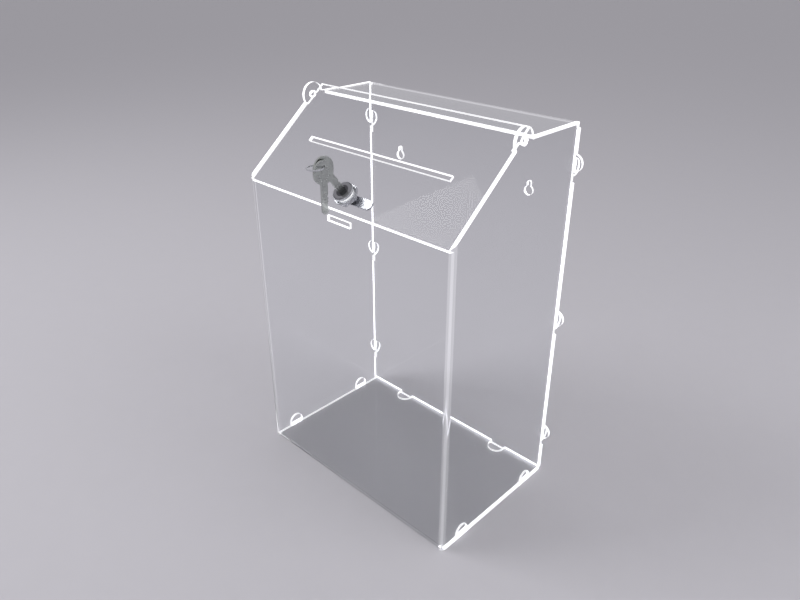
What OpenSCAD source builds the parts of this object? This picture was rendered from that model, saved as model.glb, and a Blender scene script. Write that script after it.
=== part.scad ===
// Clear acrylic ballot box with a sloping lid, a cam lock and two keys.
// Millimetres. X is to the right, Y to the back, Z up. The front faces -Y.
// The origin is the middle of the underside.

/* [Box] */
// Width over the side panels
box_w = 250; // [230:1:300]
// Depth over the front and back panels
box_d = 160; // [150:1:180]
// Height of the flat rear top
back_h = 370; // [350:1:420]
// Height of the front panel
front_h = 301; // [290:1:310]
// Thickness of the acrylic sheet
sheet_t = 3; // [3:0.5:4]
// Inner radius of the bends
bend_r = 1.5; // [1:0.5:3]

/* [Lid] */
// Radius of the round hinge ears on the side panels
ear_r = 11.5; // [10:0.5:13]
// Width of the hinge tabs on the lid
tab_w = 5.7; // [5:0.1:6]
// Length of the ballot slot
slot_l = 170; // [120:1:180]
// Width of the ballot slot
slot_w = 5; // [4:0.5:8]
// Distance of the ballot slot below the hinge
slot_from_hinge = 47; // [35:1:55]
// Distance of the hinge from the lid's upper end
lid_tail = 13; // [12:0.5:13.5]

/* [Interlocks] */
// Radius of the discs that join the back to the sides
disc_r = 8; // [7:0.5:10]
// Heights of those joints
joint_heights = [48, 182, 333];
// Radius of the keyholes' round part
keyhole_r = 4.5; // [4:0.5:6]
// Distance between the keyholes
keyhole_spacing = 160; // [100:1:180]
// Height of the keyholes
keyhole_z = 300.4; // [250:0.1:310]

/* [Lock] */
// Distance of the lock from the middle, to the left
lock_x = 6; // [0:1:30]
// Distance of the lock from the lid's lower end
lock_from_end = 16.6; // [16:0.1:20]
// Radius of the lock's head
head_r = 9; // [8.5:0.5:10]
// Radius of the threaded barrel
barrel_r = 8; // [7:0.5:8]
// Reach of the cam from the lock's axis to its tip
cam_reach = 27.5; // [27:0.5:28]
// Width of the cam
cam_w = 9; // [8:0.5:10]
// Length of a key
key_l = 46; // [44:0.5:46]

/* [Hidden] */
$fn = 64;
fit = 0.15;
run_gap = 0.3;
half_w = box_w / 2;
half_d = box_d / 2;
in_x = half_w - sheet_t;
in_y = half_d - sheet_t;
out_r = bend_r + sheet_t;

// The hinge axis runs through the middle of the flat top's thickness. The lid's lower
// corner rests just above the front panel's top edge, which fixes the lid's slope.
hinge_z = back_h - sheet_t / 2;
foot_y = -half_d + 0.9;
foot_drop = hinge_z - front_h - 0.25;
foot_dist = sqrt(foot_drop * foot_drop + foot_y * foot_y);
lid_a = acos(sheet_t / 2 / foot_dist) - atan2(-foot_y, foot_drop);
lid_l = sqrt(foot_dist * foot_dist - sheet_t * sheet_t / 4);
lid_hw = in_x - 0.6;
lid_neck = in_x - 2.2;
tab_proud = 1;
lid_top = sheet_t / 2;
tail_y = norm([lid_tail, sheet_t / 2]) + 1.3;

// Lock places, measured along the slope and square to the lid
lock_u = -lid_l + lock_from_end;
head_h = 2.5;
washer_h = 1;
nut_h = 3.5;
barrel_end = -lid_top - 6;
cam_t = 1.6;
cam_mid = lid_top - 10.5;
plug_r = 5.5;
tongue_gap = 5.2;

// Keys
key_t = 1.8;
shank_w = 6.6;
key_in = 5.5;
bow_r = 10.3;
bow_hole_r = 1.5;
hole_to_bow = 4.2;
key_tip = lid_top + head_h - key_in;
key_hole = key_tip + key_l - bow_r + hole_to_bow;
spare_step = 3;
ring_d = 14;
ring_wire = 1.4;
// The ring lies low in the first key's hole, and the spare key hangs low on the ring.
ring_sag = bow_hole_r - ring_wire / 2 - run_gap;

floor_tab_y = 51;
floor_tab_w = 16;
back_tab_x = 69;
back_tab_w = 18;

// Puts children in the lid's frame: Y runs up the slope from the hinge, Z is its normal.
module on_lid() {
    translate([0, 0, hinge_z]) rotate([lid_a, 0, 0]) children();
}

module on_lock() {
    on_lid() translate([-lock_x, lock_u, 0]) children();
}

// Turns a drawing in the YZ plane into a plate that starts at x.
module plate_x(x, t) {
    translate([x, 0, 0]) rotate([90, 0, 90]) linear_extrude(t) children();
}

// Turns a drawing in the XZ plane into a plate that ends at y.
module plate_y(y, t) {
    translate([0, y, 0]) rotate([90, 0, 0]) linear_extrude(t) children();
}

// A rectangle with round front corners, as the bent sheet lies in plan.
module bent_plan(hw, front, r, back) {
    translate([-hw, -front + r]) square([2 * hw, front - r + back]);
    translate([-hw + r, -front]) square([2 * (hw - r), r]);
    for (s = [-1, 1]) translate([s * (hw - r), -front + r]) circle(r);
}

// An arch: a slot with a round end.
module arch(w, h) {
    translate([-w / 2, -1]) square([w, h - w / 2 + 1]);
    translate([0, h - w / 2]) circle(w / 2);
}

// Outline of a side panel, with its slope, its ear and its notches.
module side_outline() {
    slope_z = hinge_z + sheet_t / 2 / cos(lid_a) - half_d * tan(lid_a);
    difference() {
        union() {
            polygon([[-half_d, 0], [in_y, 0], [in_y, back_h], [0, back_h],
                     [-sheet_t / 2 * sin(lid_a), hinge_z + sheet_t / 2 * cos(lid_a)],
                     [-half_d, slope_z]]);
            translate([0, hinge_z]) circle(ear_r);
        }
        for (s = [-1, 1]) translate([s * floor_tab_y, 0]) arch(floor_tab_w, 13);
        translate([0, hinge_z]) circle(tab_w / 2 + 0.75);
    }
}

// One disc on a side panel, slotted from above for the back panel.
module side_disc() {
    difference() {
        translate([half_d - sheet_t / 2, -1.5]) circle(disc_r);
        translate([in_y - fit, 0]) square([sheet_t + 2 * fit, 2 * disc_r]);
        translate([0, -2 * disc_r]) square([in_y - 1, 4 * disc_r]);
    }
}

module body_sheet() {
    color([0.9, 0.95, 1, 0.4]) {
        difference() {
            intersection() {
                linear_extrude(hinge_z + ear_r + 1) difference() {
                    bent_plan(half_w, half_d, out_r, in_y);
                    bent_plan(in_x, in_y, bend_r, half_d);
                }
                plate_x(-half_w, box_w) side_outline();
            }
            translate([-in_x, -half_d - 1, front_h]) cube([2 * in_x, sheet_t + bend_r + 1, 20]);
            translate([-in_x + bend_r, -half_d - 1, -1]) cube([2 * (in_x - bend_r), 6, out_r + 1]);
            tongue_slot();
        }
        floor_panel();
        for (s = [-1, 1], z = joint_heights)
            plate_x(s > 0 ? in_x : -half_w, sheet_t) translate([0, z]) side_disc();
    }
}

// The slot in the front panel that the cam's tip goes through.
module tongue_slot() {
    mid_y = -half_d + sheet_t / 2;
    cam_u = (mid_y + cam_mid * sin(lid_a)) / cos(lid_a);
    mid_z = hinge_z + cam_u * sin(lid_a) + cam_mid * cos(lid_a);
    near = (lock_u * cos(lid_a) - cam_mid * sin(lid_a) + in_y) / cos(lid_a);
    swing = sqrt(cam_reach * cam_reach - near * near);
    left = -lock_x - cam_w;
    translate([left, -half_d - 1, mid_z - tongue_gap / 2])
        cube([swing - lock_x - left + 0.5, sheet_t + 2, tongue_gap]);
}

// The floor, bent up into the front panel, with tabs at the sides and notches at the back.
module floor_panel() {
    bend_hw = in_x - bend_r - run_gap;
    plate_x(-bend_hw, 2 * bend_hw) {
        difference() {
            translate([-half_d + out_r, out_r]) circle(out_r);
            translate([-half_d + out_r, out_r]) circle(bend_r);
            translate([-half_d + out_r, -1]) square(2 * out_r + 2);
            translate([-half_d - 1, out_r]) square(2 * out_r + 2);
        }
        translate([-half_d, out_r - 0.01]) square([sheet_t, 1]);
    }
    linear_extrude(sheet_t) difference() {
        union() {
            translate([-in_x + fit, -half_d + out_r - 0.01])
                square([2 * (in_x - fit), box_d - out_r + 0.01]);
            for (s = [-1, 1])
                translate([-half_w, s * floor_tab_y - floor_tab_w / 2 + fit])
                    square([box_w, floor_tab_w - 2 * fit]);
        }
        for (s = [-1, 1])
            translate([s * back_tab_x, half_d]) rotate(180) arch(back_tab_w, 14);
    }
}

// Outline of the back panel, with its discs, feet, tabs and keyholes.
module back_outline() {
    top = back_h - out_r;
    difference() {
        union() {
            translate([-half_w, sheet_t]) square([box_w, top - sheet_t - 1]);
            translate([-in_x + run_gap, sheet_t]) square([2 * (in_x - run_gap), top - sheet_t]);
            for (s = [-1, 1]) {
                translate([s * back_tab_x - back_tab_w / 2 + fit, 0])
                    square([back_tab_w - 2 * fit, sheet_t + 1]);
                for (z = joint_heights)
                    translate([s * (half_w - sheet_t / 2), z + 1.5]) circle(disc_r);
            }
        }
        for (s = [-1, 1]) {
            for (z = joint_heights)
                translate([s > 0 ? in_x - fit : -half_w - fit, z - 2 * disc_r])
                    square([sheet_t + 2 * fit, 2 * disc_r]);
            translate([s * keyhole_spacing / 2, keyhole_z]) {
                circle(keyhole_r);
                translate([-2, 0]) square([4, 7.4]);
                translate([0, 7.4]) circle(2);
            }
        }
    }
}

module back_sheet() {
    hw = in_x - run_gap;
    color([0.9, 0.95, 1, 0.4]) {
        plate_y(half_d, sheet_t) back_outline();
        plate_x(-hw, 2 * hw) {
            translate([tail_y, back_h - sheet_t]) square([half_d - out_r - tail_y + 0.01, sheet_t]);
            difference() {
                translate([half_d - out_r, back_h - out_r]) circle(out_r);
                translate([half_d - out_r, back_h - out_r]) circle(bend_r);
                translate([0, back_h - 3 * out_r]) square([half_d - out_r, 4 * out_r]);
                translate([0, back_h - 3 * out_r]) square([half_d + 1, 2 * out_r]);
            }
        }
    }
}

module lid() {
    color([0.9, 0.95, 1, 0.4]) on_lid() translate([0, 0, -sheet_t / 2]) linear_extrude(sheet_t)
        difference() {
            union() {
                translate([-lid_hw, -lid_l]) square([2 * lid_hw, lid_l - ear_r]);
                translate([-lid_neck, -ear_r - 0.01]) square([2 * lid_neck, ear_r + lid_tail]);
                translate([-half_w - tab_proud, -tab_w / 2]) square([box_w + 2 * tab_proud, tab_w]);
            }
            translate([-slot_l / 2, -slot_from_hinge - slot_w / 2]) square([slot_l, slot_w]);
            translate([-lock_x, lock_u]) circle(barrel_r + fit);
        }
}

module lock_housing() {
    color("dimgray") on_lock() difference() {
        union() {
            translate([0, 0, lid_top]) cylinder(h = head_h - 0.8, r = head_r);
            translate([0, 0, lid_top + head_h - 0.8]) cylinder(h = 0.8, r1 = head_r, r2 = head_r - 0.8);
            translate([0, 0, barrel_end]) cylinder(h = lid_top - barrel_end + 0.01, r = barrel_r);
        }
        translate([0, 0, barrel_end - 1]) cylinder(h = 20, r = plug_r + fit);
    }
}

module lock_washer() {
    color("silver") on_lock() translate([0, 0, -lid_top - washer_h]) difference() {
        cylinder(h = washer_h, r = barrel_r + 2.6);
        translate([0, 0, -1]) cylinder(h = washer_h + 2, r = barrel_r + fit);
    }
}

module lock_nut() {
    color("silver") on_lock() translate([0, 0, -lid_top - washer_h - nut_h]) difference() {
        cylinder(h = nut_h, r = barrel_r + 3, $fn = 6);
        translate([0, 0, -1]) cylinder(h = nut_h + 2, r = barrel_r);
    }
}

// The plug turns in the housing. Its square end carries the cam.
module lock_plug() {
    color("lightgray") on_lock() difference() {
        union() {
            translate([0, 0, cam_mid + cam_t / 2])
                cylinder(h = lid_top + head_h - cam_mid - cam_t / 2, r = plug_r);
            translate([-3, -3, cam_mid - cam_t / 2]) cube([6, 6, cam_t + 0.01]);
        }
        translate([-key_t / 2 - fit, -shank_w / 2 - fit, key_tip])
            cube([key_t + 2 * fit, shank_w + 2 * fit, 20]);
    }
}

module lock_cam() {
    color("silver") on_lock() translate([0, 0, cam_mid - cam_t / 2]) linear_extrude(cam_t)
        difference() {
            union() {
                circle(cam_w / 2 + 1);
                translate([0, -cam_w / 2]) square([cam_reach - cam_w / 2, cam_w]);
                translate([cam_reach - cam_w / 2, 0]) circle(cam_w / 2);
            }
            translate([-3, -3]) square(6);
        }
}

module cam_screw() {
    color("silver") on_lock() translate([0, 0, cam_mid - cam_t / 2]) {
        translate([0, 0, -0.8]) cylinder(h = 0.8, r = 4.2);
        translate([0, 0, -3.2]) cylinder(h = 2.4, r = 3.6, $fn = 6);
    }
}

// A flat key, tip down, drawn in the XY plane with its tip at the origin.
module key_outline() {
    difference() {
        union() {
            polygon([[-1.2, 0], [1.2, 0], [shank_w / 2, 2.4], [shank_w / 2, key_l - bow_r],
                     [-shank_w / 2, key_l - bow_r], [-shank_w / 2, 2.4]]);
            translate([0, key_l - bow_r]) circle(bow_r);
        }
        translate([0, key_l - bow_r + hole_to_bow]) circle(bow_hole_r);
        for (i = [0:3]) translate([shank_w / 2 + 0.6, 6 + 3 * i]) circle(1.3 + 0.2 * (i % 2));
    }
}

module flat_key() {
    rotate([90, 0, 90]) translate([0, 0, -key_t / 2]) linear_extrude(key_t) key_outline();
}

module key() {
    color("silver") on_lock() translate([0, 0, key_tip]) flat_key();
}

// Puts children at the first key's ring hole, upright in the box's frame.
module at_key_hole() {
    on_lock() translate([0, 0, key_hole]) rotate([-lid_a, 0, 0]) children();
}

module key_ring() {
    color("silver") at_key_hole() translate([spare_step / 2, -ring_d / 2, -ring_sag])
        rotate_extrude() translate([ring_d / 2, 0]) circle(ring_wire / 2);
}

module spare_key() {
    hole = key_l - bow_r + hole_to_bow;
    color("silver") at_key_hole() translate([spare_step, 0, -hole - 2 * ring_sag]) flat_key();
}

body_sheet();
back_sheet();
lid();
lock_housing();
lock_washer();
lock_nut();
lock_plug();
lock_cam();
cam_screw();
key();
key_ring();
spare_key();
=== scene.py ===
"""Looks of the clear acrylic ballot box, with its lock and keys, in metres and the frame's axes."""

import bpy
import numpy as np
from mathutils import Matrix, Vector


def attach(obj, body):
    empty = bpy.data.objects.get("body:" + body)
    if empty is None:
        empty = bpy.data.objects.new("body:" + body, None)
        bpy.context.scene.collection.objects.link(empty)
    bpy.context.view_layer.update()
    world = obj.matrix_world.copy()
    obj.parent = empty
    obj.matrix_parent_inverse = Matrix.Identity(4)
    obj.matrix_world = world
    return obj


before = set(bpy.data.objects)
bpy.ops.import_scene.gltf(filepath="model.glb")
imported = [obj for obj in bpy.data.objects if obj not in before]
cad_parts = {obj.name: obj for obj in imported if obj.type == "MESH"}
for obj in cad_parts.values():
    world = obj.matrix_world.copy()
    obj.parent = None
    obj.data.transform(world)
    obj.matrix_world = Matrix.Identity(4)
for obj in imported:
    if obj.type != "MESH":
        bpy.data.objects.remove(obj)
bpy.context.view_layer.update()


# The camera stands where the photograph was taken, right of the front corner and above the lid.
camera_data = bpy.data.cameras.new("camera")
camera_data.sensor_width = 36
camera_data.lens = 31.5
camera_data.clip_end = 30
camera = bpy.data.objects.new("camera", camera_data)
camera.location = (0.4189, -0.4406, 0.5091)
sight = Vector((-0.6137, 0.6365, -0.4673))
camera.rotation_euler = sight.to_track_quat("-Z", "Y").to_euler()
bpy.context.scene.collection.objects.link(camera)
bpy.context.scene.camera = camera
bpy.context.scene.view_settings.view_transform = "Standard"


def surface_group(name):
    """A node group: noise round a base value, giving a varied colour, roughness and fine height."""
    group = bpy.data.node_groups.new(name, "ShaderNodeTree")
    face = group.interface
    face.new_socket("Color", in_out="INPUT", socket_type="NodeSocketColor")
    for label in ("Scale", "Roughness", "Variation"):
        face.new_socket(label, in_out="INPUT", socket_type="NodeSocketFloat")
    face.new_socket("Color", in_out="OUTPUT", socket_type="NodeSocketColor")
    face.new_socket("Roughness", in_out="OUTPUT", socket_type="NodeSocketFloat")
    face.new_socket("Height", in_out="OUTPUT", socket_type="NodeSocketFloat")
    nodes, links = group.nodes, group.links
    inputs = nodes.new("NodeGroupInput")
    outputs = nodes.new("NodeGroupOutput")
    place = nodes.new("ShaderNodeTexCoord")
    noise = nodes.new("ShaderNodeTexNoise")
    noise.inputs["Detail"].default_value = 6
    links.new(place.outputs["Object"], noise.inputs["Vector"])
    links.new(inputs.outputs["Scale"], noise.inputs["Scale"])
    centred = nodes.new("ShaderNodeMath")
    centred.operation = "SUBTRACT"
    centred.inputs[1].default_value = 0.5
    links.new(noise.outputs["Fac"], centred.inputs[0])
    spread = nodes.new("ShaderNodeMath")
    spread.operation = "MULTIPLY"
    links.new(centred.outputs[0], spread.inputs[0])
    links.new(inputs.outputs["Variation"], spread.inputs[1])
    rough = nodes.new("ShaderNodeMath")
    rough.operation = "ADD"
    rough.use_clamp = True
    links.new(inputs.outputs["Roughness"], rough.inputs[0])
    links.new(spread.outputs[0], rough.inputs[1])
    level = nodes.new("ShaderNodeMath")
    level.operation = "ADD"
    level.inputs[1].default_value = 1
    links.new(spread.outputs[0], level.inputs[0])
    tint = nodes.new("ShaderNodeVectorMath")
    tint.operation = "SCALE"
    links.new(inputs.outputs["Color"], tint.inputs[0])
    links.new(level.outputs[0], tint.inputs["Scale"])
    links.new(tint.outputs[0], outputs.inputs["Color"])
    links.new(rough.outputs[0], outputs.inputs["Roughness"])
    links.new(noise.outputs["Fac"], outputs.inputs["Height"])
    return group


surface = surface_group("surface")


def material(name, color, roughness, variation, scale, bump, **settings):
    """A principled material whose colour, roughness and bump come from the surface group."""
    made = bpy.data.materials.new(name)
    made.use_nodes = True
    nodes, links = made.node_tree.nodes, made.node_tree.links
    shader = nodes["Principled BSDF"]
    look = nodes.new("ShaderNodeGroup")
    look.node_tree = surface
    look.inputs["Color"].default_value = (*color, 1)
    look.inputs["Scale"].default_value = scale
    look.inputs["Roughness"].default_value = roughness
    look.inputs["Variation"].default_value = variation
    relief = nodes.new("ShaderNodeBump")
    relief.inputs["Strength"].default_value = bump
    relief.inputs["Distance"].default_value = 0.0002
    links.new(look.outputs["Color"], shader.inputs["Base Color"])
    links.new(look.outputs["Roughness"], shader.inputs["Roughness"])
    links.new(look.outputs["Height"], relief.inputs["Height"])
    links.new(relief.outputs["Normal"], shader.inputs["Normal"])
    for key, value in settings.items():
        shader.inputs[key.replace("_", " ")].default_value = value
    return made


# Cast acrylic is clear and very slightly uneven. Its laser-cut edges carry the light and show
# white, which is nearly all that shows of the box; here that white is a painted glow from emission.
acrylic = material("acrylic", (0.98, 0.985, 0.99), 0.015, 0.02, 12, 0.02,
                   Transmission_Weight=1.0, IOR=1.15)
cut_edge_painted_glow = material("cut edge", (0.97, 0.97, 1.0), 0.3, 0.15, 400, 0.3,
                    Emission_Color=(1, 1, 1, 1), Emission_Strength=0.7)
# Heating the sheet to bend it leaves the bend faintly milky and rougher; its pale line is partly
# that haze and partly a faint painted glow from emission.
bend = material("bend", (0.98, 0.98, 1.0), 0.12, 0.05, 60, 0.1,
                Transmission_Weight=1.0, IOR=1.2,
                Emission_Color=(1, 1, 1, 1), Emission_Strength=0.12)
# The lid's plane, and where the bends begin, measured from the box's middle and its base.
lid_slope = np.radians(39.543)
lid_normal = np.array([0, -np.sin(lid_slope), np.cos(lid_slope)])
side_inner = 0.1219
back_inner = 0.0765
bend_line = 0.0755
side_bend_from = 0.1206
top_bend_from = 0.3655
floor_bend_to = 0.0046
floor_bend_half = 0.1204
cam_slot_half = 0.02
square_on = 0.9
aslant = 0.5


def is_cut(node, centre, normal):
    """True on the faces that the laser cut, from where a face lies and which way it looks."""
    x, y, z = centre
    across, along, up = np.abs(normal)
    if node == "lid":
        return abs(normal @ lid_normal) < aslant
    if node == "back_sheet":
        if y > bend_line and z > top_bend_from:
            return across > aslant
        return along < aslant if y > back_inner else up < aslant
    if y < -bend_line:
        if z < floor_bend_to:
            return across > aslant and abs(x) < floor_bend_half
        return up > aslant or (across > square_on and abs(x) < cam_slot_half)
    if abs(x) > side_inner:
        return across < aslant
    return up < aslant


def is_bend(node, centre):
    """True on the faces of a bend, which lie in the corners of the bent sheets."""
    x, y, z = centre
    if node == "body_sheet":
        return y < -bend_line and abs(x) > side_bend_from
    return node == "back_sheet" and y > bend_line and z > top_bend_from


for sheet_node in ("body_sheet", "back_sheet", "lid"):
    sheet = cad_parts[sheet_node]
    sheet.data.materials.clear()
    sheet.data.materials.append(acrylic)
    sheet.data.materials.append(cut_edge_painted_glow)
    sheet.data.materials.append(bend)
    for face in sheet.data.polygons:
        if is_cut(sheet_node, np.array(face.center), np.array(face.normal)):
            face.material_index = 1
        elif is_bend(sheet_node, face.center):
            face.material_index = 2
        else:
            face.material_index = 0


# The lock is a plated metal cylinder with a mirror-like face; the face is painted dark, a painted
# reflection of the dark surroundings in the chrome. The nut, washer, cam and screw behind it are
# plain bright steel, and the keys are duller steel.
chrome = material("chrome", (0.32, 0.32, 0.34), 0.09, 0.08, 300, 0.05, Metallic=1.0)
plug_painted_reflection = material("plug", (0.10, 0.10, 0.11), 0.14, 0.10, 300, 0.08, Metallic=1.0)
zinc = material("zinc", (0.62, 0.63, 0.66), 0.28, 0.20, 500, 0.15, Metallic=1.0)
key_steel = material("key steel", (0.50, 0.52, 0.50), 0.30, 0.22, 700, 0.2, Metallic=1.0)
finishes = {
    "lock_housing": chrome,
    "lock_plug": plug_painted_reflection,
    "lock_washer": zinc,
    "lock_nut": zinc,
    "lock_cam": zinc,
    "cam_screw": zinc,
    "key": key_steel,
    "key_ring": zinc,
    "spare_key": key_steel,
}
for metal_node, finish in finishes.items():
    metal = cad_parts[metal_node]
    metal.data.materials.clear()
    metal.data.materials.append(finish)


# A bright rim stands round the lock's head, turned by the profile (r, h) about the lock's axis:
# p(a, i) = centre + r_i cos(a) e1 + r_i sin(a) e2 + h_i n.
turns = 96
profile = [
    (0.0091, 0.0016),
    (0.0096, 0.0018),
    (0.0098, 0.0026),
    (0.0096, 0.0035),
    (0.0091, 0.0038),
]
lock_from_hinge = -0.0872129
lock_x = -0.006
hinge = np.array([0, 0, 0.3685])
slope = np.array([0, np.cos(lid_slope), np.sin(lid_slope)])
centre = hinge + np.array([lock_x, 0, 0]) + lock_from_hinge * slope
angles = np.linspace(0, 2 * np.pi, turns, endpoint=False)
points = []
for radius, height in profile:
    ring = np.outer(np.cos(angles), [1, 0, 0]) + np.outer(np.sin(angles), slope)
    points.append(centre + radius * ring + height * lid_normal)
points = np.concatenate(points)
faces = []
for level in range(len(profile)):
    above = (level + 1) % len(profile)
    for step in range(turns):
        after = (step + 1) % turns
        low, high = level * turns, above * turns
        faces.append((low + step, low + after, high + after, high + step))
rim_mesh = bpy.data.meshes.new("lock_rim")
rim_mesh.from_pydata(points.tolist(), [], faces)
rim_mesh.shade_smooth()
rim_mesh.materials.append(zinc)
rim = bpy.data.objects.new("lock_rim", rim_mesh)
bpy.context.scene.collection.objects.link(rim)
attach(rim, "lid")


# A plain pale table top under soft studio light.
table_mesh = bpy.data.meshes.new("table")
reach = 8
top = -0.0002
corners = [(-reach, -reach, top), (reach, -reach, top), (reach, reach, top), (-reach, reach, top)]
table_mesh.from_pydata(corners, [], [(0, 1, 2, 3)])
table_mesh.materials.append(material("table", (0.50, 0.49, 0.52), 0.6, 0.03, 40, 0.05))
table = bpy.data.objects.new("table", table_mesh)
bpy.context.scene.collection.objects.link(table)

world = bpy.data.worlds.new("studio")
bpy.context.scene.world = world
world.use_nodes = True
world.node_tree.nodes["Background"].inputs["Color"].default_value = (0.72, 0.71, 0.74, 1)
world.node_tree.nodes["Background"].inputs["Strength"].default_value = 0.8


def soft_light(name, place, size, power):
    """A square light at place that looks at the middle of the box."""
    data = bpy.data.lights.new(name, "AREA")
    data.size = size
    data.energy = power
    light = bpy.data.objects.new(name, data)
    light.location = place
    light.visible_glossy = False
    light.rotation_euler = (Vector((0, 0, 0.2)) - Vector(place)).to_track_quat("-Z", "Y").to_euler()
    bpy.context.scene.collection.objects.link(light)


soft_light("key light", (-0.9, -0.8, 1.5), 0.8, 14)
soft_light("fill light", (1.2, 0.3, 1.3), 1.2, 8)
